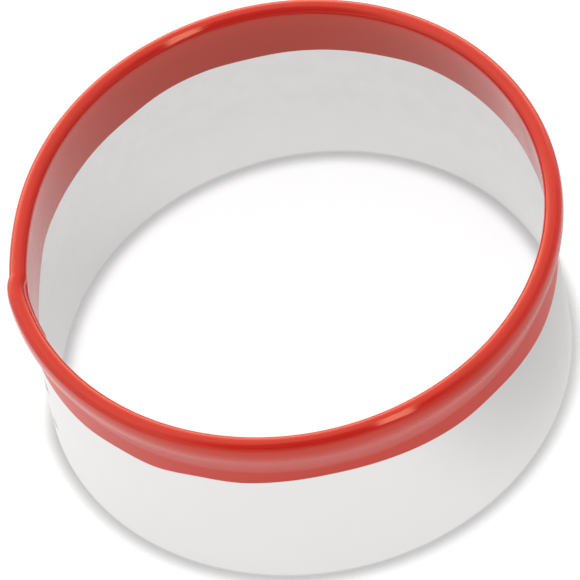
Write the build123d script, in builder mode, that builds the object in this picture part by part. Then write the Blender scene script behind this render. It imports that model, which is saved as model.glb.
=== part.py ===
"""Round biscuit cutter: a lapped and spot-welded tinplate ring with a rolled, resin-dipped rim.

Millimetres, +Z up. The cutting edge lies in the plane z = 0 and the ring stands round the Z axis.
The lap seam is on the -X side. The ring is followed counter-clockwise, seen from above.
"""

import os
from math import cos, radians, sin, sqrt, tan

from build123d import *

# Ring: the line that the middle of the wall follows, seen from above.
# The strip was bent over a former and sprang back a little, so the ring is a chain of arcs.
ring_radius = 28.3
seam_place_shares = (-1.0011, -0.0171)
seam_heading = 262.2
seam_flat_share = 0.0164
arrival_flat_share = 0.0304
kink_radius_share = 0.266
kink_turn = 13.6
front_radius_share = 1.007
front_turn = 149.4
right_radius_share = 1.022
right_turn = 55.2
back_right_radius_share = 0.957
back_right_turn = 62.1
back_radius_share = 1.005
back_turn = 53.3

# Strip: thin tinplate, with its top edge rolled outwards into a hollow curl.
strip_thickness = 0.2
metal_height = 25.5
curl_radius = 0.69
curl_turn = 285.0

# Lap seam: the inner end runs on as a plain tongue behind the outer end.
lap_length = 7.0
lap_gap = 0.03
butt_gap = 0.2
tongue_drop = 0.3

# Spot welds through both layers of the lap.
weld_diameter = 1.8
weld_dimple = 0.05
weld_place_share = 0.58
weld_height_shares = (0.17, 0.43, 0.69)

# Rim coating: dipped resin. Below its shoulder the bead's outer side flattens into a collar,
# which leans in to the wall under the curl. The lower edge feathers out.
coat_thickness = 0.2
shoulder_angle = 8.0
collar_radius = 5.0
underside_angle = 22.0
underside_blend = 2.5
cover_rounding = 0.15
feather_share = 1.4

# How far the dip line lies below the middle of the curl, as shares of the metal height.
# The places run round from +X by equal steps. The outside was wetted deeper than the inside.
outside_dip_shares = (0.337, 0.322, 0.306, 0.294, 0.286, 0.282, 0.278, 0.282, 0.290, 0.298,
                      0.314, 0.333, 0.353, 0.349, 0.338, 0.320, 0.292, 0.285, 0.271, 0.287,
                      0.308, 0.310, 0.348, 0.349)
inside_dip_shares = (0.259, 0.257, 0.240, 0.226, 0.243, 0.245, 0.250, 0.234, 0.262, 0.257,
                     0.269, 0.278, 0.341, 0.325, 0.300, 0.286, 0.268, 0.262, 0.247, 0.251,
                     0.243, 0.251, 0.251, 0.255)

# One overrun for every cutting shape.
overrun = 2.0

half_strip = strip_thickness / 2
curl_outer_radius = curl_radius + half_strip
curl_height = metal_height - curl_outer_radius
bead_radius = curl_outer_radius + coat_thickness
coat_face = half_strip + coat_thickness
lap_offset = strip_thickness + lap_gap
tongue_height = curl_height - tongue_drop
dip_reach = metal_height * max(outside_dip_shares) + overrun


def along(heading):
    """Unit vector of a heading in degrees."""
    return Vector(cos(radians(heading)), sin(radians(heading)))


def inward(heading):
    """Unit vector to the left of a heading, which points into the ring."""
    return Vector(-sin(radians(heading)), cos(radians(heading)))


# The outer end of the strip starts at the seam, and the inner end arrives just inside it.
seam = Vector(*[ring_radius * share for share in seam_place_shares])
seam_flat = ring_radius * seam_flat_share
flat_end = seam + along(seam_heading) * seam_flat
inner_seam = seam + inward(seam_heading) * lap_offset
arrival = inner_seam - along(seam_heading) * ring_radius * arrival_flat_share
kink_radius = ring_radius * kink_radius_share
front_radius = ring_radius * front_radius_share


def ring_arcs():
    """Arcs of the wall line from the end of the seam's flat to the place where it arrives again."""
    kink = JernArc(flat_end, along(seam_heading), kink_radius, kink_turn)
    front = JernArc(kink @ 1, kink % 1, front_radius, front_turn)
    right = JernArc(front @ 1, front % 1, ring_radius * right_radius_share, right_turn)
    back_right = JernArc(right @ 1, right % 1, ring_radius * back_right_radius_share, back_right_turn)
    back = JernArc(back_right @ 1, back_right % 1, ring_radius * back_radius_share, back_turn)
    # Two last arcs of equal tangent length keep the direction of travel at both of their ends.
    chord = arrival - back @ 1
    both = back % 1 + along(seam_heading)
    spread = 2 - 2 * (back % 1).dot(along(seam_heading))
    reach = (sqrt(chord.dot(both) ** 2 + spread * chord.dot(chord)) - chord.dot(both)) / spread
    middle = (back @ 1 + (back % 1) * reach + arrival - along(seam_heading) * reach) / 2
    back_left = TangentArc(back @ 1, middle, tangent=back % 1)
    TangentArc(middle, arrival, tangent=back_left % 1)


def lap_line(start, side_step, extra_length):
    """Line that runs on through the lap, one side step inside the outer layer."""
    kink_length = radians(kink_turn) * kink_radius
    turn = (lap_length - seam_flat - kink_length + extra_length) / radians(front_radius)
    with BuildLine() as line:
        lead = Line(start, flat_end + inward(seam_heading) * side_step)
        bend = JernArc(lead @ 1, lead % 1, kink_radius - side_step, kink_turn)
        JernArc(bend @ 1, bend % 1, front_radius - side_step, turn)
    return line.wire()


def across(path):
    """Plane square to the start of a path: x points out of the ring and y points up."""
    travel = path % 0
    return Plane(path @ 0, x_dir=(travel.Y, -travel.X, 0), z_dir=-travel)


# Wall line of the strip, from its outer end all the way round to the last of its curl.
with BuildLine() as strip_line:
    Line(seam, flat_end)
    ring_arcs()
    Line(arrival, inner_seam - along(seam_heading) * butt_gap)
strip_path = strip_line.wire()
tongue_path = lap_line(inner_seam - along(seam_heading) * butt_gap, lap_offset, 0)

# Closed line for the rim coating, which steps smoothly from the inner layer out to the outer one.
with BuildLine() as coat_line:
    step_in = TangentArc(arrival, (arrival + flat_end) / 2, tangent=along(seam_heading))
    TangentArc(step_in @ 1, flat_end, tangent=step_in % 1)
    ring_arcs()
coat_path = coat_line.wire()

# Where the welds sit: a place along the lap, midway between the two layers.
weld_share = lap_length * weld_place_share / strip_path.length
weld_travel = strip_path % weld_share
weld_outward = Vector(weld_travel.Y, -weld_travel.X)
weld_centre = strip_path @ weld_share - weld_outward * lap_offset / 2


def weld_discs(half_length):
    """Discs square to the lap, centred between its two layers, one at each weld."""
    with BuildPart() as discs:
        for share in weld_height_shares:
            place = weld_centre + Vector(0, 0, metal_height * share)
            with BuildSketch(Plane(place, z_dir=weld_outward)):
                Circle(weld_diameter / 2)
            extrude(amount=half_length, both=True)
    return discs.part


# Cutter band: wall and curl in one sweep, then the tongue, then the weld holes.
with BuildPart() as cutter_band:
    with BuildSketch(across(strip_path)) as strip_section:
        with BuildLine():
            Line((0, 0), (0, curl_height))
            CenterArc((curl_radius, curl_height), curl_radius, 180, -curl_turn)
        trace(line_width=strip_thickness)
    sweep(path=strip_path)
    with BuildSketch(across(tongue_path)):
        Rectangle(strip_thickness, tongue_height, align=(Align.CENTER, Align.MIN))
    sweep(path=tongue_path)
    add(weld_discs(lap_offset + overrun), mode=Mode.SUBTRACT)
cutter_band.part.label = "cutter_band"

# Spot welds: the fused metal, a little below both faces where the electrodes pressed.
with BuildPart() as spot_welds:
    add(weld_discs(lap_offset / 2 + half_strip - weld_dimple))
spot_welds.part.label = "spot_welds"


def dip_slope(dip_shares, side):
    """Slanting wavy face from inside the wall to clear of the coat. Side is 1 outside, -1 inside."""
    edges = []
    for distance in (-overrun, dip_reach):
        points = []
        for place, share in enumerate(dip_shares):
            angle = radians(360 * place / len(dip_shares))
            radius = ring_radius + side * distance
            height = curl_height - metal_height * share + feather_share * distance
            points.append(Vector(radius * cos(angle), radius * sin(angle), height))
        edges.append(Edge.make_spline(points, periodic=True))
    return Face.make_surface_from_curves(edges[0], edges[1])


# Everything inside a closed line in the middle of the metal, which parts the two sides of the wall.
# At the seam the line steps from the inner layer to the outer one, within the metal of both.
step_place = along(seam_heading) * butt_gap
with BuildSketch() as inside_plan:
    with BuildLine():
        Line(seam + step_place, flat_end)
        ring_arcs()
        Line(arrival, inner_seam + step_place)
        Line(inner_seam + step_place, seam + step_place)
    make_face()

# The space under the dip line, on each side of the wall.
with BuildPart() as below_outside_dip:
    extrude(dip_slope(outside_dip_shares, 1), amount=metal_height, dir=(0, 0, -1))
    add(extrude(inside_plan.sketch, amount=metal_height, mode=Mode.PRIVATE), mode=Mode.SUBTRACT)
with BuildPart() as below_inside_dip:
    extrude(dip_slope(inside_dip_shares, -1), amount=metal_height, dir=(0, 0, -1))
    add(extrude(inside_plan.sketch, amount=metal_height, mode=Mode.PRIVATE), mode=Mode.INTERSECT)

# Resin over the tongue, inside the ring, with a rounded top where it meets the bead.
cover_path = lap_line(arrival, lap_offset, coat_thickness)
with BuildPart() as tongue_cover:
    with BuildSketch(Plane.XY.offset(curl_height - dip_reach)):
        add(cover_path.edges())
        trace(line_width=2 * coat_face)
    extrude(amount=dip_reach - tongue_drop + coat_thickness)
    end_corners = tongue_cover.edges().filter_by(Axis.Z).sort_by_distance(cover_path @ 1)[:2]
    fillet(end_corners, cover_rounding)
    fillet(tongue_cover.faces().sort_by(Axis.Z)[-1].edges(), cover_rounding)

# Rim coating: one closed sweep and the tongue's cover, less the dip's lower edge and the metal.
with BuildPart() as rim_coating:
    with BuildSketch(across(coat_path)) as coat_section:
        with BuildLine():
            inner_face = Line((-coat_face, curl_height - dip_reach), (-coat_face, curl_height))
            bead = CenterArc((curl_radius, curl_height), bead_radius, 180, shoulder_angle - 180)
            collar = JernArc(bead @ 1, bead % 1, collar_radius, -shoulder_angle - underside_angle)
            drop = ((collar @ 1).X - coat_face) / tan(radians(underside_angle))
            underside = Line(collar @ 1, (coat_face, (collar @ 1).Y - drop))
            outer_face = Line(underside @ 1, (coat_face, curl_height - dip_reach))
            Line(outer_face @ 1, inner_face @ 0)
        make_face()
        corner = coat_section.vertices().group_by(Axis.X)[1].sort_by(Axis.Y)[-1]
        fillet(corner, underside_blend)
    sweep(path=coat_path)
    add(tongue_cover.part)
    add(below_outside_dip.part, mode=Mode.SUBTRACT)
    add(below_inside_dip.part, mode=Mode.SUBTRACT)
    with BuildSketch(across(strip_path)):
        with Locations((curl_radius, curl_height)):
            Circle(curl_radius)
    sweep(path=strip_path, mode=Mode.SUBTRACT)
    add(cutter_band.part, mode=Mode.SUBTRACT)
    add(spot_welds.part, mode=Mode.SUBTRACT)
rim_coating.part.label = "rim_coating"

os.makedirs("parts", exist_ok=True)
export_step(cutter_band.part, "parts/cutter_band.step")
export_step(spot_welds.part, "parts/spot_welds.step")
export_step(rim_coating.part, "parts/rim_coating.step")
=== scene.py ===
"""Biscuit cutter: the looks of a tinplate ring with a rolled rim dipped in glossy red resin.

Metres, +Z up. The ring stands on its cutting edge in the plane z = 0, with its lap seam at -X.
The panel in the 3D view's sidebar lists the pieces. Run as a script, the file makes them all.
"""

from math import atan2, cos, degrees, pi, radians, sin, sqrt, tan, tau

import bmesh
import bpy
from mathutils import Matrix, Vector


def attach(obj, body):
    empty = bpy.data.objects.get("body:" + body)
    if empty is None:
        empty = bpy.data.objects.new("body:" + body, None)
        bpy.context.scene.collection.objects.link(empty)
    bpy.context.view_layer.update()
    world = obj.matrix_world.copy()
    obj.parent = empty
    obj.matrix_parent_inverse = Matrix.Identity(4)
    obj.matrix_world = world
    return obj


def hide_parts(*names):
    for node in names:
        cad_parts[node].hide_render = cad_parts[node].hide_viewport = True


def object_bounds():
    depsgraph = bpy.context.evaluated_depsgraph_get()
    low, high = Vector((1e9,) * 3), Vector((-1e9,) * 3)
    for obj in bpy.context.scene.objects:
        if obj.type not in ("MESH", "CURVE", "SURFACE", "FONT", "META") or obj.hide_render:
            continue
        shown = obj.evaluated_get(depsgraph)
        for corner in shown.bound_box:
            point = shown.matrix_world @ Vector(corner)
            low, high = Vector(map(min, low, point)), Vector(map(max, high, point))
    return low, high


bl_info = {
    "name": "Biscuit cutter",
    "version": (1, 0, 0),
    "blender": (4, 5, 0),
    "location": "View3D > Sidebar > Cutter",
    "description": "Finishes a round tinplate biscuit cutter and sets its studio",
    "category": "Object",
}

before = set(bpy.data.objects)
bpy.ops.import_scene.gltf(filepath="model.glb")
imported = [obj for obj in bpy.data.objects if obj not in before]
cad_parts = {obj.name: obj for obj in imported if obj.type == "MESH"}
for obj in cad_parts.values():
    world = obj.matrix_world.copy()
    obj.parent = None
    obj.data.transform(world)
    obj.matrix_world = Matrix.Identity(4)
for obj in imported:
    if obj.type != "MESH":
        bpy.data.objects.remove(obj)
cad_low, cad_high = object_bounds()

MM = 0.001
WHITE = (1.0, 1.0, 1.0)

# Plan of the wall's middle line: the seam, and then arcs of (radius, turn in degrees).
# The inner end of the strip arrives a little before the seam, one step inside the outer layer.
RING_RADIUS = 28.3 * MM
SEAM = Vector((-28.3311, -0.4839)) * MM
SEAM_HEADING = 262.2
SEAM_FLAT = 0.4641 * MM
RING_ARCS = (
    (7.5278 * MM, 13.6),
    (28.4981 * MM, 149.4),
    (28.9226 * MM, 55.2),
    (27.0831 * MM, 62.1),
    (28.4415 * MM, 53.3),
)
ARRIVAL_FLAT = 0.8603 * MM
LAP_STEP = 0.23 * MM
HALF_STRIP = 0.1 * MM

# Resin over the tongue, inside the ring: how far along the wall line it ends and how long it
# takes to fade, and the depths below the curl's middle at which it starts and is full.
COVER_END = 6.64 * MM
COVER_FADE = 1.6 * MM
COVER_TOP = 0.08 * MM
COVER_FULL = 0.3 * MM

# Section of the resin. Each side ends in a straight skirt, whose rows are then laid down to the
# dip line. Its last row is tucked a little under the face of the metal.
UPRIGHT = 0.45 * MM
SKIRT = 1.0 * MM
TUCK = 0.004 * MM

# The section is repeated at this many lengths round the ring, and each length is cut this many
# times. Heights closer than NEAR count as one, and vertices closer than MERGE are merged.
LENGTHS = 40
CUTS = 16
NEAR = 0.001 * MM
MERGE = 0.002 * MM

# How far the dip line lies below the middle of the curl in millimetres, every 10 degrees from +X.
OUTSIDE_DIP = (8.6, 8.35, 8.05, 7.8, 7.6, 7.4, 7.25, 7.12, 7.1, 7.15, 7.25, 7.4,
               7.6, 7.85, 8.2, 8.55, 8.8, 9.0, 9.05, 8.9, 8.75, 8.61, 8.08, 8.12,
               7.45, 7.48, 7.14, 6.92, 7.15, 7.56, 7.86, 7.84, 8.35, 8.87, 8.95, 8.8)
INSIDE_DIP = (6.6, 6.6, 6.22, 6.13, 5.97, 5.9, 6.2, 6.22, 6.27, 6.38, 6.13, 6.2,
              6.68, 6.76, 6.86, 6.8, 6.76, 8.0, 8.75, 8.5, 8.2, 7.8, 7.45, 7.15,
              6.83, 6.75, 6.6, 6.4, 6.3, 6.4, 6.3, 6.2, 6.3, 6.4, 6.4, 6.5)

# Floor: its half width, its colour, and how much of its white is light of its own, near and far.
# Metal and resin show it dimmer on the ring's right, and on the left inside the ring, as painted
# shade.
FLOOR_REACH = 0.8
FLOOR_COLOUR = (0.78, 0.78, 0.78)
NEAR_GLOW = 0.65
FAR_GLOW = 0.85
RIGHT_DIM = 0.75
INSIDE_DIM = 0.3

# Sky: the height of the middle of the dim front and how dim it is, the sides of the tall lamp and
# how far it leans back, and the colour of the low lamp behind.
FRONT_HEIGHT = radians(40.0)
FRONT_DIM = 0.8
LAMP_SIDES = (0.190, 0.352)
LAMP_DEPTH = (-0.88, 0.02)
WARM = (1.0, 0.93, 0.62)

# Camera: the place on the floor that it was fitted to, and two small turns that frame the view.
AIM = Vector((0.2245, -0.223, 0.0)) * MM
PAN = radians(-0.0435)
TILT = radians(0.432)
SENSOR_WIDTH = 36.0


def along(heading):
    """Unit vector of a heading in degrees."""
    return Vector((cos(radians(heading)), sin(radians(heading))))


def inward(heading):
    """Unit vector to the left of a heading, into the ring."""
    return Vector((-sin(radians(heading)), cos(radians(heading))))


class WallLine:
    """The closed line that the coated wall follows, as arcs with their start, heading and radius."""

    def __init__(self):
        self.arcs = []
        self.length = 0.0
        self.point = SEAM + along(SEAM_HEADING) * SEAM_FLAT
        self.heading = SEAM_HEADING
        start = self.point
        arrival = SEAM + inward(SEAM_HEADING) * LAP_STEP - along(SEAM_HEADING) * ARRIVAL_FLAT
        for radius, turn in RING_ARCS:
            self.add(radius, turn)
        self.arrive(arrival, SEAM_HEADING)
        # Two small arcs step from the inner layer out to the outer one.
        self.reach((arrival + start) / 2)
        self.reach(start)

    def add(self, radius, turn):
        """Adds an arc. A negative radius and turn bend to the right."""
        self.arcs.append((self.length, self.point, self.heading, radius))
        centre = self.point + inward(self.heading) * radius
        self.heading += turn
        self.point = centre - inward(self.heading) * radius
        self.length += radians(turn) * radius

    def reach(self, end):
        """Adds the tangent arc that ends at a point."""
        chord = end - self.point
        aside = chord.dot(inward(self.heading))
        radius = chord.dot(chord) / (2 * aside)
        half_turn = atan2(aside, chord.dot(along(self.heading)))
        self.add(radius, degrees(2 * half_turn))

    def arrive(self, end, heading):
        """Adds two tangent arcs that end at a point with a heading."""
        here = along(self.heading)
        there = along(heading)
        chord = end - self.point
        spread = 2 - 2 * here.dot(there)
        pull = chord.dot(here + there)
        stretch = (sqrt(pull ** 2 + spread * chord.dot(chord)) - pull) / spread
        self.reach((self.point + here * stretch + end - there * stretch) / 2)
        self.reach(end)

    def place(self, station):
        """Point and heading at a distance along the line."""
        station %= self.length
        begin, point, heading, radius = [arc for arc in self.arcs if arc[0] <= station][-1]
        turned = heading + degrees((station - begin) / radius)
        return point + inward(heading) * radius - inward(turned) * radius, turned


def wrap(shape, line):
    """Bends a strip that was made straight along X round the wall line. Y is the way out."""
    for vert in shape.verts:
        point, heading = line.place(vert.co.x)
        point = point - inward(heading) * vert.co.y
        vert.co = (point.x, point.y, vert.co.z)


def run(shape, vert, way, rows):
    """Extrudes a vertex straight along a way in equal rows, and gives the last new one."""
    bmesh.ops.spin(shape, geom=[vert], cent=(0, 0, 0), axis=(1, 0, 0), angle=0.0,
                   dvec=way / rows, steps=rows)
    shape.verts.ensure_lookup_table()
    return shape.verts[-1]


def bend(shape, vert, centre, angle, rows):
    """Extrudes a vertex round a centre in the section's plane, and gives the last new one."""
    bmesh.ops.spin(shape, geom=[vert], cent=centre, axis=(1, 0, 0), angle=angle, steps=rows)
    shape.verts.ensure_lookup_table()
    return shape.verts[-1]


def smooth(value, low, high):
    """Rises smoothly from 0 at low to 1 at high."""
    share = min(1.0, max(0.0, (value - low) / (high - low)))
    return share * share * (3 - 2 * share)


def dip_depth(table, angle):
    """Depth of the dip line below the curl's middle at an angle, by a smooth periodic curve."""
    place = (angle / tau * len(table)) % len(table)
    first = int(place)
    t = place - first
    a, b, c, d = (table[(first + step) % len(table)] for step in (-1, 0, 1, 2))
    square = 2 * a - 5 * b + 4 * c - d
    cube = 3 * b - a - 3 * c + d
    return (b + ((c - a) * t + square * t ** 2 + cube * t ** 3) / 2) * MM


def toned(colour, share):
    """A colour made darker, or lighter by a share over 1."""
    return tuple(min(1.0, part * share) for part in colour)


class Wire:
    """A number that runs along a node socket. Expressions on wires add their Math nodes."""

    def __init__(self, finish, socket):
        self.finish = finish
        self.socket = socket

    def math(self, operation, first, second):
        """The result of a Math node on two numbers or wires."""
        return self.finish.wire("ShaderNodeMath", {"operation": operation}, {0: first, 1: second})

    def __add__(self, other):
        return self.math("ADD", self, other)

    def __radd__(self, other):
        return self.math("ADD", other, self)

    def __sub__(self, other):
        return self.math("SUBTRACT", self, other)

    def __rsub__(self, other):
        return self.math("SUBTRACT", other, self)

    def __mul__(self, other):
        return self.math("MULTIPLY", self, other)

    def __rmul__(self, other):
        return self.math("MULTIPLY", other, self)

    def __truediv__(self, other):
        return self.math("DIVIDE", self, other)

    def __rtruediv__(self, other):
        return self.math("DIVIDE", other, self)

    def smooth(self, low, high):
        """Rises smoothly from 0 at low to 1 at high."""
        return self.finish.wire(
            "ShaderNodeMapRange",
            {"interpolation_type": "SMOOTHSTEP", "clamp": True},
            {"Value": self, "From Min": low, "From Max": high},
        )

    def band(self, low, high, edge):
        """Is 1 between low and high, and falls to 0 there over the width of a soft edge."""
        return self.smooth(low, low + edge) * self.smooth(high, high - edge)


class Finish:
    """A node tree in the making: a material's, or the studio sky's."""

    def __init__(self, owner):
        owner.use_nodes = True
        self.owner = owner
        self.tree = owner.node_tree
        self.tree.nodes.clear()

    def node(self, kind, settings=None, values=None):
        """Makes a node: its settings first, then the values or links of its sockets."""
        made = self.tree.nodes.new(kind)
        for name, value in (settings or {}).items():
            setattr(made, name, value)
        for name, value in (values or {}).items():
            socket = made.inputs[name]
            if isinstance(value, Wire):
                value = value.socket
            if isinstance(value, bpy.types.NodeSocket):
                self.tree.links.new(value, socket)
            else:
                socket.default_value = value
        return made

    def socket(self, kind, settings=None, values=None, output=0):
        """The output socket of a new node."""
        return self.node(kind, settings, values).outputs[output]

    def wire(self, kind, settings=None, values=None, output=0):
        """The number that a new node gives."""
        return Wire(self, self.socket(kind, settings, values, output))

    def place(self, output="Object"):
        """Object coordinates, or another output of Texture Coordinate, as three wires."""
        where = self.socket("ShaderNodeTexCoord", output=output)
        split = self.node("ShaderNodeSeparateXYZ", None, {0: where})
        return [Wire(self, socket) for socket in split.outputs]

    def inner_side(self):
        """Is 1 where the surface faces the ring's axis, and 0 on the outside."""
        where = self.node("ShaderNodeTexCoord")
        facing = self.wire("ShaderNodeVectorMath", {"operation": "DOT_PRODUCT"},
                           {0: where.outputs["Object"], 1: where.outputs["Normal"]}, "Value")
        return facing.smooth(2 * MM, -2 * MM)

    def point(self, x, y, z):
        """A vector socket from three wires or numbers."""
        return self.socket("ShaderNodeCombineXYZ", None, {0: x, 1: y, 2: z})

    def noise(self, vector, scale, detail=2.0, roughness=0.5):
        """Noise from 0 to 1 at a vector socket."""
        values = {"Vector": vector, "Scale": scale, "Detail": detail, "Roughness": roughness}
        return self.wire("ShaderNodeTexNoise", None, values)

    def blend(self, factor, first, second):
        """A colour between two others."""
        # The Mix node's inputs 6 and 7 and its output 2 are the ones for colours.
        settings = {"data_type": "RGBA", "clamp_factor": True}
        values = {0: factor, 6: self.colour(first), 7: self.colour(second)}
        return self.socket("ShaderNodeMix", settings, values, 2)

    @staticmethod
    def colour(value):
        """A colour as a node's input takes it: a socket, or four numbers."""
        return value if isinstance(value, bpy.types.NodeSocket) else (*value, 1.0)

    def bump(self, height, distance, normal=None):
        """A normal that a height has roughened, on top of another one if it is given."""
        values = {"Height": height, "Distance": distance, "Strength": 1.0}
        if normal is not None:
            values["Normal"] = normal
        return self.socket("ShaderNodeBump", None, values)

    def light(self, kind, strength, colour=WHITE):
        """A shader that gives light: an Emission, or the sky's Background."""
        return self.socket(kind, None, {"Color": (*colour, 1.0), "Strength": strength})

    def mix(self, factor, first, second):
        """A shader between two others."""
        return self.socket("ShaderNodeMixShader", None, {0: factor, 1: first, 2: second})

    def surface(self, values):
        """Ends the material with a Principled shader."""
        shader = self.socket("ShaderNodeBsdfPrincipled", None, values)
        self.node("ShaderNodeOutputMaterial", None, {"Surface": shader})
        return self.owner


def tinplate(settings):
    """Bright tinplate: faint bending bands and rolling lines, soft mottling, handling marks."""
    finish = Finish(bpy.data.materials.new("tinplate"))
    x, y, z = finish.place()
    around = x.math("ARCTAN2", y, x) * RING_RADIUS
    strip = finish.point(around, z, 0.0)
    bands = finish.noise(finish.point(around, z * 0.12, 0.0), 120.0)
    lines = finish.noise(finish.point(around * 0.02, z, 0.0), 5200.0, detail=3.0, roughness=0.6)
    mottle = finish.noise(strip, 420.0, detail=3.0, roughness=0.55)
    smudge = finish.noise(strip, 95.0)
    slant = finish.point(around * 0.25 + z * 0.6, z * 2.2, 3.0)
    marks = finish.noise(slant, 1500.0, roughness=0.7)
    scratch = marks.smooth(0.68, 0.76) * smudge.smooth(0.5, 0.72)
    # Painted shade: the metal darkens in its lowest half millimetre, along the foot where it stands
    # on the floor.
    edge = z.smooth(0.45 * MM, 0.1 * MM)
    # Painted shade: the inside is darker than the outside, most of all in its upper part.
    inner = finish.inner_side() * (0.5 + z.smooth(3 * MM, 16 * MM) * 0.45)
    tin = settings.tin_colour
    colour = finish.blend(inner, tin, toned(tin, 0.87))
    colour = finish.blend((1 - mottle.smooth(0.3, 0.7)) * 0.3, colour, toned(tin, 0.975))
    colour = finish.blend(scratch * 0.35, colour, toned(tin, 1.08))
    colour = finish.blend(edge * 0.8, colour, toned(tin, 0.75))
    rough = settings.tin_roughness + (smudge - 0.5) * 0.025 + (mottle - 0.5) * 0.01
    normal = finish.bump(bands, 0.003 * MM)
    normal = finish.bump(lines, 0.0004 * MM, normal)
    normal = finish.bump(scratch, -0.001 * MM, normal)
    return finish.surface({
        "Base Color": colour, "Metallic": 1.0, "Roughness": rough, "Normal": normal,
    })


def weld_metal(settings):
    """Fused spot: duller and a little darker, with a grain where the sheet was pressed."""
    finish = Finish(bpy.data.materials.new("weld"))
    here = finish.point(*finish.place())
    grain = finish.noise(here, 3800.0, detail=4.0, roughness=0.6)
    tin = settings.tin_colour
    return finish.surface({
        "Base Color": finish.blend(grain.smooth(0.35, 0.68), toned(tin, 0.88), toned(tin, 0.98)),
        "Metallic": 1.0,
        "Roughness": 0.42 + (grain - 0.5) * 0.2,
        "Normal": finish.bump(grain, 0.01 * MM),
    })


def resin(settings):
    """Glossy dipped resin: deep red, faintly clouded, with a soft skin and a few specks."""
    finish = Finish(bpy.data.materials.new("coating"))
    x, y, z = finish.place()
    here = finish.point(x, y, z)
    depth = finish.wire("ShaderNodeAttribute", {"attribute_name": "resin_depth"}, None, "Fac")
    clouds = finish.noise(here, 160.0)
    peel = finish.noise(here, 260.0)
    specks = finish.noise(here, 2600.0, detail=1.0)
    # On the wall below the bead the resin is duller outside, and painted shade makes it darker
    # inside.
    skirt = z.smooth(24.4 * MM, 22.4 * MM)
    inner = finish.inner_side()
    deep = settings.resin_colour
    colour = finish.blend(clouds.smooth(0.3, 0.7), toned(deep, 0.95), deep)
    colour = finish.blend(inner * skirt * 0.8, colour, toned(deep, 0.84))
    colour = finish.blend(1 - depth.smooth(0.0, 0.6), colour, settings.thin_colour)
    rough = settings.resin_roughness + (clouds - 0.5) * 0.03 + specks.smooth(0.76, 0.82) * 0.12
    rough = rough + skirt * (0.26 - inner * 0.2)
    return finish.surface({
        "Base Color": colour, "Roughness": rough, "IOR": 1.5,
        "Normal": finish.bump(peel, 0.0006 * MM),
        "Specular IOR Level": 1.0, "Specular Tint": (*settings.gloss_colour, 1.0),
    })


def put(shape, name, material):
    """Makes an object of a finished mesh, shaded smooth."""
    mesh = bpy.data.meshes.new(name)
    shape.to_mesh(mesh)
    shape.free()
    mesh.materials.append(material)
    mesh.shade_smooth()
    piece = bpy.data.objects.new(name, mesh)
    bpy.context.scene.collection.objects.link(piece)
    return piece


def dress(node, material):
    """Gives a piece of the frame a better material."""
    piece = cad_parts[node]
    piece.data.materials.clear()
    piece.data.materials.append(material)


class BandSettings(bpy.types.PropertyGroup):
    """Finish of the tinplate band and its welds"""

    tin_colour: bpy.props.FloatVectorProperty(
        name="Tin", description="Colour of the bright tinplate", subtype="COLOR",
        size=3, min=0.0, max=1.0, default=(0.705, 0.70, 0.695))
    tin_roughness: bpy.props.FloatProperty(
        name="Tin roughness", description="How dull the tinplate is",
        subtype="FACTOR", min=0.0, max=1.0, default=0.34)


class CoatSettings(bpy.types.PropertyGroup):
    """Section and finish of the resin on the rim"""

    thickness: bpy.props.FloatProperty(
        name="Thickness", description="Thickness of the resin on the flat wall",
        unit="LENGTH", min=0.05 * MM, max=1.0 * MM, default=0.2 * MM)
    curl_radius: bpy.props.FloatProperty(
        name="Curl radius", description="Radius of the middle of the curled sheet",
        unit="LENGTH", min=0.3 * MM, max=2.0 * MM, default=0.685 * MM)
    shoulder: bpy.props.FloatProperty(
        name="Shoulder", description="Angle over level at which the bead's outer side flattens",
        unit="ROTATION", min=0.0, max=1.0, default=radians(8.0))
    collar_radius: bpy.props.FloatProperty(
        name="Collar", description="Radius of the flattened outer side below the shoulder",
        unit="LENGTH", min=1.0 * MM, max=12.0 * MM, default=5.0 * MM)
    slope: bpy.props.FloatProperty(
        name="Slope", description="Slope of the resin under the curl, from upright",
        unit="ROTATION", min=0.1, max=1.0, default=radians(22.0))
    blend_radius: bpy.props.FloatProperty(
        name="Blend", description="Radius of the hollow where the collar runs into the wall",
        unit="LENGTH", min=0.5 * MM, max=8.0 * MM, default=2.5 * MM)
    feather: bpy.props.FloatProperty(
        name="Feather", description="Height over which the lower edge thins out",
        unit="LENGTH", min=0.05 * MM, max=3.0 * MM, default=0.22 * MM)
    resin_colour: bpy.props.FloatVectorProperty(
        name="Resin", description="Colour of the thick resin", subtype="COLOR",
        size=3, min=0.0, max=1.0, default=(0.575, 0.012, 0.010))
    thin_colour: bpy.props.FloatVectorProperty(
        name="Thin resin", description="Colour of the resin at its thin lower edge",
        subtype="COLOR", size=3, min=0.0, max=1.0, default=(0.51, 0.09, 0.11))
    gloss_colour: bpy.props.FloatVectorProperty(
        name="Gloss", description="Colour of the light that the resin's skin throws back",
        subtype="COLOR", size=3, min=0.0, max=1.0, default=(1.0, 0.48, 0.31))
    resin_roughness: bpy.props.FloatProperty(
        name="Resin roughness", description="How dull the resin's skin is",
        subtype="FACTOR", min=0.0, max=1.0, default=0.10)


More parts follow.
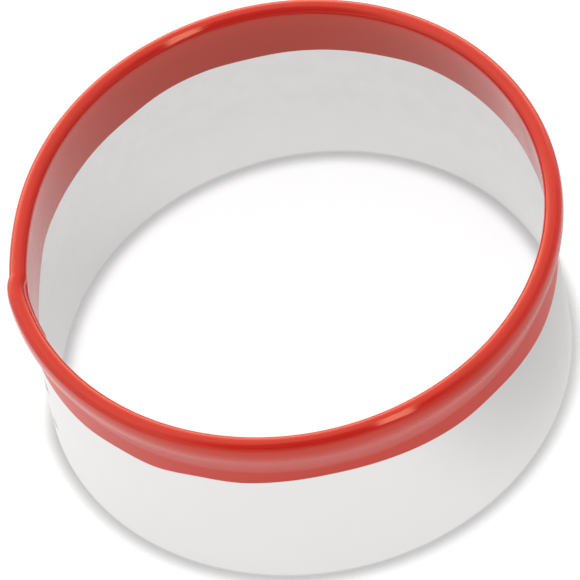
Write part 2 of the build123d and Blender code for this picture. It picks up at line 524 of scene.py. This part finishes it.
class StageSettings(bpy.types.PropertyGroup):
    """Camera, light and floor"""

    lens: bpy.props.FloatProperty(
        name="Lens", description="Focal length for a picture 36 mm wide",
        unit="CAMERA", min=50.0, max=1000.0, default=620.69)
    distance: bpy.props.FloatProperty(
        name="Distance", description="From the lens to the middle of the ring's foot",
        unit="LENGTH", min=0.1, max=5.0, default=1.08556)
    elevation: bpy.props.FloatProperty(
        name="Elevation", description="Height of the camera over the floor",
        unit="ROTATION", default=radians(53.074))
    roll: bpy.props.FloatProperty(
        name="Roll", description="Turn of the camera about its line of sight",
        unit="ROTATION", default=radians(-11.958))
    dome: bpy.props.FloatProperty(
        name="Sky", description="Strength of the whole studio light",
        min=0.0, max=3.0, default=1.0)
    horizon: bpy.props.FloatProperty(
        name="Horizon", description="Brightness of the light above the backdrop",
        min=0.0, max=3.0, default=0.45)
    backdrop: bpy.props.FloatProperty(
        name="Backdrop", description="Brightness of the white backdrop that stands round the floor",
        min=0.0, max=3.0, default=1.1)
    zenith: bpy.props.FloatProperty(
        name="Overhead", description="Brightness of the light overhead",
        min=0.0, max=3.0, default=1.3)
    key: bpy.props.FloatProperty(
        name="Tall lamp", description="Brightness of the tall narrow soft lamp at the front right",
        min=0.0, max=10.0, default=4.5)
    back_lamp: bpy.props.FloatProperty(
        name="Back lamp", description="Brightness of the low warm lamp behind the ring",
        min=0.0, max=10.0, default=1.9)
    lean: bpy.props.FloatProperty(
        name="Lean", description="How much more light comes from the left than from the right",
        subtype="FACTOR", min=0.0, max=1.0, default=0.3)
    floor_white: bpy.props.FloatProperty(
        name="Floor white", description="White that the floor adds where the camera sees it",
        min=0.0, max=2.0, default=1.3)
    floor_shade: bpy.props.FloatProperty(
        name="Floor shade", description="White that the floor adds right at the ring's foot",
        min=0.0, max=2.0, default=0.56)
    floor_gloss: bpy.props.FloatProperty(
        name="Floor gloss", description="White that the floor adds where metal or resin shows it",
        min=0.0, max=2.0, default=1.4)
    floor_dim: bpy.props.FloatProperty(
        name="Floor far off", description="White that metal or resin shows of the floor far off",
        min=0.0, max=2.0, default=0.5)
    shadow: bpy.props.FloatProperty(
        name="Shadow", description="How far the soft shadow round the ring's foot reaches",
        unit="LENGTH", min=0.1 * MM, max=50.0 * MM, default=2.7 * MM)


class CUTTER_OT_band(bpy.types.Operator):
    """Finish the tinplate band"""

    bl_idname = "cutter.band"
    bl_label = "Tinplate band"

    def execute(self, context):
        dress("cutter_band", tinplate(context.scene.cutter_band))
        return {"FINISHED"}


class CUTTER_OT_welds(bpy.types.Operator):
    """Finish the spot welds of the lap seam"""

    bl_idname = "cutter.welds"
    bl_label = "Spot welds"

    def execute(self, context):
        dress("spot_welds", weld_metal(context.scene.cutter_band))
        return {"FINISHED"}


class CUTTER_OT_coating(bpy.types.Operator):
    """Make the red resin that the rim was dipped in"""

    bl_idname = "cutter.coating"
    bl_label = "Rim coating"

    def execute(self, context):
        settings = context.scene.cutter_coat
        line = WallLine()
        bead_radius = settings.curl_radius + HALF_STRIP + settings.thickness
        curl_height = cad_high.z - bead_radius
        shape = bmesh.new()
        inner_top, outer_top = self.draw_section(shape, settings, curl_height)
        section = shape.verts[:] + shape.edges[:]
        bmesh.ops.spin(shape, geom=section, cent=(0, 0, 0), axis=(1, 0, 0), angle=0.0,
                       dvec=(line.length / LENGTHS, 0, 0), steps=LENGTHS)
        long_edges = [edge for edge in shape.edges
                      if abs(edge.verts[0].co.x - edge.verts[1].co.x) > MM]
        bmesh.ops.subdivide_edges(shape, edges=long_edges, cuts=CUTS, use_grid_fill=True)
        self.lay_skirts(shape, line, settings, curl_height, inner_top, outer_top)
        wrap(shape, line)
        bmesh.ops.remove_doubles(shape, verts=shape.verts, dist=MERGE)
        bmesh.ops.recalc_face_normals(shape, faces=shape.faces)
        coat = put(shape, "dipped_coating", resin(settings))
        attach(coat, "root")
        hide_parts("rim_coating")
        return {"FINISHED"}

    def draw_section(self, shape, settings, curl_height):
        """Draws the section from inside to outside, and gives the heights of the skirts' tops."""
        face = HALF_STRIP + settings.thickness
        shoulder = settings.shoulder
        slope = settings.slope
        inner_top = curl_height - UPRIGHT
        # Inside: up the skirt, and on to the middle of the curl.
        end = shape.verts.new((0.0, -face, inner_top - SKIRT))
        end = run(shape, end, Vector((0.0, 0.0, SKIRT)), rows=20)
        end = run(shape, end, Vector((0.0, 0.0, UPRIGHT)), rows=4)
        # Bead: over the top, and then down its flattened outer side.
        centre = Vector((0.0, settings.curl_radius, curl_height))
        end = bend(shape, end, centre, shoulder - pi, rows=40)
        centre = end.co - Vector((0.0, cos(shoulder), sin(shoulder))) * settings.collar_radius
        end = bend(shape, end, centre, -shoulder - slope, rows=20)
        # Outside: down the slope, round the hollow and down the skirt.
        fall = (end.co.y - face) / sin(slope) - settings.blend_radius * tan(slope / 2)
        end = run(shape, end, Vector((0.0, -sin(slope), -cos(slope))) * fall, rows=10)
        centre = end.co + Vector((0.0, cos(slope), -sin(slope))) * settings.blend_radius
        end = bend(shape, end, centre, slope, rows=16)
        outer_top = end.co.z
        run(shape, end, Vector((0.0, 0.0, -SKIRT)), rows=18)
        return inner_top, outer_top

    def lay_skirts(self, shape, line, settings, curl_height, inner_top, outer_top):
        """Brings the skirts down to the dip line, and the inner side over the lap's tongue."""
        depth = shape.verts.layers.float.new("resin_depth")
        face = HALF_STRIP + settings.thickness
        for vert in shape.verts:
            vert[depth] = 1.0
            inside = vert.co.y < 0
            outside = 0 < vert.co.y < face + NEAR and vert.co.z < outer_top - NEAR
            if not inside and not outside:
                continue
            side = -1 if inside else 1
            top = inner_top if inside else outer_top
            if vert.co.z < top - NEAR:
                point, _ = line.place(vert.co.x)
                table = INSIDE_DIP if inside else OUTSIDE_DIP
                dip = curl_height - dip_depth(table, atan2(point.y, point.x))
                # The rows crowd together towards the dip line, where the resin rounds off.
                down = min(1.0, (top - vert.co.z) / SKIRT)
                vert.co.z = dip + (top - dip) * (1 - down) ** 2
                height = min(1.0, max(0.0, (vert.co.z - dip) / settings.feather))
                vert[depth] = sqrt(1 - (1 - height) ** 2)
                vert.co.y = side * (HALF_STRIP + settings.thickness * vert[depth])
                vert.co.y -= side * TUCK * (1 - vert[depth])
            if inside:
                under = smooth(curl_height - vert.co.z, COVER_TOP, COVER_FULL)
                vert.co.y -= LAP_STEP * self.lap_share(line, vert.co.x) * under

    @staticmethod
    def lap_share(line, station):
        """How much of the lap's step the inner face stands in by, from 0 to 1."""
        step = smooth(station, line.length - SEAM_FLAT - ARRIVAL_FLAT, line.length)
        return max(step, 1 - smooth(station, COVER_END, COVER_END + COVER_FADE))


class CUTTER_OT_stage(bpy.types.Operator):
    """Set the floor, the soft light and the camera"""

    bl_idname = "cutter.stage"
    bl_label = "Studio"

    def execute(self, context):
        settings = context.scene.cutter_stage
        self.floor(settings)
        self.sky(context, settings)
        self.camera(context, settings)
        context.scene.view_settings.view_transform = "Standard"
        return {"FINISHED"}

    def floor(self, settings):
        """Plain white floor that keeps the ring's soft shadow."""
        shape = bmesh.new()
        bmesh.ops.create_grid(shape, x_segments=8, y_segments=8, size=FLOOR_REACH)
        finish = Finish(bpy.data.materials.new("white_floor"))
        plain = finish.socket("ShaderNodeBsdfDiffuse", None, {"Color": (*FLOOR_COLOUR, 1.0)})
        shade, white, near, dim = (
            finish.light("ShaderNodeEmission", strength)
            for strength in (settings.floor_shade, settings.floor_white,
                             settings.floor_gloss, settings.floor_dim))
        rays = finish.node("ShaderNodeLightPath")
        camera, gloss, glass, bounces = (
            Wire(finish, rays.outputs[name])
            for name in ("Is Camera Ray", "Is Glossy Ray", "Is Transmission Ray", "Diffuse Depth"))
        # The camera sees white in the open, and a soft shade close to the ring's foot.
        open_sky = finish.wire("ShaderNodeAmbientOcclusion", {"samples": 16},
                               {"Distance": settings.shadow}, "AO")
        lift = finish.mix(open_sky.smooth(0.5, 0.95), shade, white)
        seen = finish.mix(camera * NEAR_GLOW, plain, lift)
        # Metal and resin show it white too. The limits on the square are squares of distances.
        x, y, _ = finish.place()
        square = x * x + y * y
        # Painted shade: metal and resin show the floor dimmer far off, on the ring's right outside
        # it, and on the left inside it.
        far = square.smooth(0.003, 0.03)
        in_ring = square.smooth(0.00085, 0.00075)
        dimmed = x.smooth(14 * MM, 40 * MM) * (1 - in_ring) * RIGHT_DIM
        dimmed = dimmed + x.smooth(-6 * MM, -22 * MM) * in_ring * INSIDE_DIM
        shown = finish.mix(far + (1 - far) * dimmed, near, dim)
        # Light that a matt surface has scattered sees only the plain floor.
        straight = bounces.smooth(1.0, 0.0)
        glow = NEAR_GLOW + far * (FAR_GLOW - NEAR_GLOW)
        both = finish.mix((gloss + glass) * straight * glow, seen, shown)
        finish.node("ShaderNodeOutputMaterial", None, {"Surface": both})
        put(shape, "floor", finish.owner)

    def sky(self, context, settings):
        """Soft light from all round, with a tall lamp at the front and a warm one behind."""
        context.scene.world = bpy.data.worlds.new("studio")
        finish = Finish(context.scene.world)
        x, y, z = finish.place("Generated")
        light = settings.horizon + z.smooth(0.0, 0.8) * (settings.zenith - settings.horizon)
        # A wide part of the front is dim, and the backdrop stands all round below it.
        front = (z * sin(FRONT_HEIGHT) - y * cos(FRONT_HEIGHT)).smooth(0.55, 0.92)
        light = light * (1 - front * FRONT_DIM)
        light = light + z.smooth(0.3, 0.06) * (settings.backdrop - settings.horizon)
        light = light * (1 - x * settings.lean)
        # The tall lamp is a strip that leans back from the front right and narrows to its top.
        lean = x / (0.6 - y)
        lamp = lean.band(*LAMP_SIDES, 0.016) * y.band(*LAMP_DEPTH, 0.06) * z.smooth(0.1, 0.2)
        light = light * (1 - lamp) + lamp * settings.key
        even = finish.light("ShaderNodeBackground", light * settings.dome)
        glow = y.smooth(0.45, 0.9) * z.smooth(0.78, 0.3) * settings.back_lamp
        warm = finish.light("ShaderNodeBackground", glow * settings.dome, WARM)
        soft = finish.socket("ShaderNodeAddShader", None, {0: even, 1: warm})
        # The camera itself sees plain white.
        white = finish.light("ShaderNodeBackground", 1.0)
        rays = finish.node("ShaderNodeLightPath")
        both = finish.mix(rays.outputs["Is Camera Ray"], soft, white)
        finish.node("ShaderNodeOutputWorld", None, {"Surface": both})

    def camera(self, context, settings):
        """The photograph's view: from in front and above, and rolled a little."""
        away = Vector((0.0, -cos(settings.elevation), sin(settings.elevation)))
        ahead = -away
        right = Vector((1.0, 0.0, 0.0))
        up = right.cross(ahead)
        ahead, right = self.turned(ahead, right, PAN)
        ahead, up = self.turned(ahead, up, TILT)
        right, up = self.turned(right, up, settings.roll)
        data = bpy.data.cameras.new("photo_camera")
        data.lens = settings.lens
        data.sensor_width = SENSOR_WIDTH
        data.sensor_fit = "HORIZONTAL"
        data.clip_start = 0.01
        data.clip_end = 10.0
        camera = bpy.data.objects.new("photo_camera", data)
        context.scene.collection.objects.link(camera)
        turn = Matrix((right, up, -ahead)).transposed().to_4x4()
        camera.matrix_world = Matrix.Translation(AIM + away * settings.distance) @ turn
        context.scene.camera = camera

    @staticmethod
    def turned(first, second, angle):
        """Two directions at right angles, once the first has turned towards the second."""
        return (first * cos(angle) + second * sin(angle),
                second * cos(angle) - first * sin(angle))


class CUTTER_PT_panel(bpy.types.Panel):
    """Lists the cutter's pieces and their settings"""

    bl_label = "Biscuit cutter"
    bl_idname = "CUTTER_PT_panel"
    bl_space_type = "VIEW_3D"
    bl_region_type = "UI"
    bl_category = "Cutter"

    def draw(self, context):
        groups = (
            (context.scene.cutter_band, ("cutter.band", "cutter.welds")),
            (context.scene.cutter_coat, ("cutter.coating",)),
            (context.scene.cutter_stage, ("cutter.stage",)),
        )
        for settings, operators in groups:
            box = self.layout.box()
            for name in settings.__annotations__:
                box.prop(settings, name)
            for name in operators:
                box.operator(name)


CLASSES = (BandSettings, CoatSettings, StageSettings, CUTTER_OT_band, CUTTER_OT_welds,
           CUTTER_OT_coating, CUTTER_OT_stage, CUTTER_PT_panel)
GROUPS = {"cutter_band": BandSettings, "cutter_coat": CoatSettings, "cutter_stage": StageSettings}


def register():
    for item in CLASSES:
        bpy.utils.register_class(item)
    for name, group in GROUPS.items():
        setattr(bpy.types.Scene, name, bpy.props.PointerProperty(type=group))


def unregister():
    for name in GROUPS:
        delattr(bpy.types.Scene, name)
    for item in reversed(CLASSES):
        bpy.utils.unregister_class(item)


def main():
    register()
    bpy.ops.cutter.band()
    bpy.ops.cutter.welds()
    bpy.ops.cutter.coating()
    bpy.ops.cutter.stage()


if __name__ == "__main__":
    main()
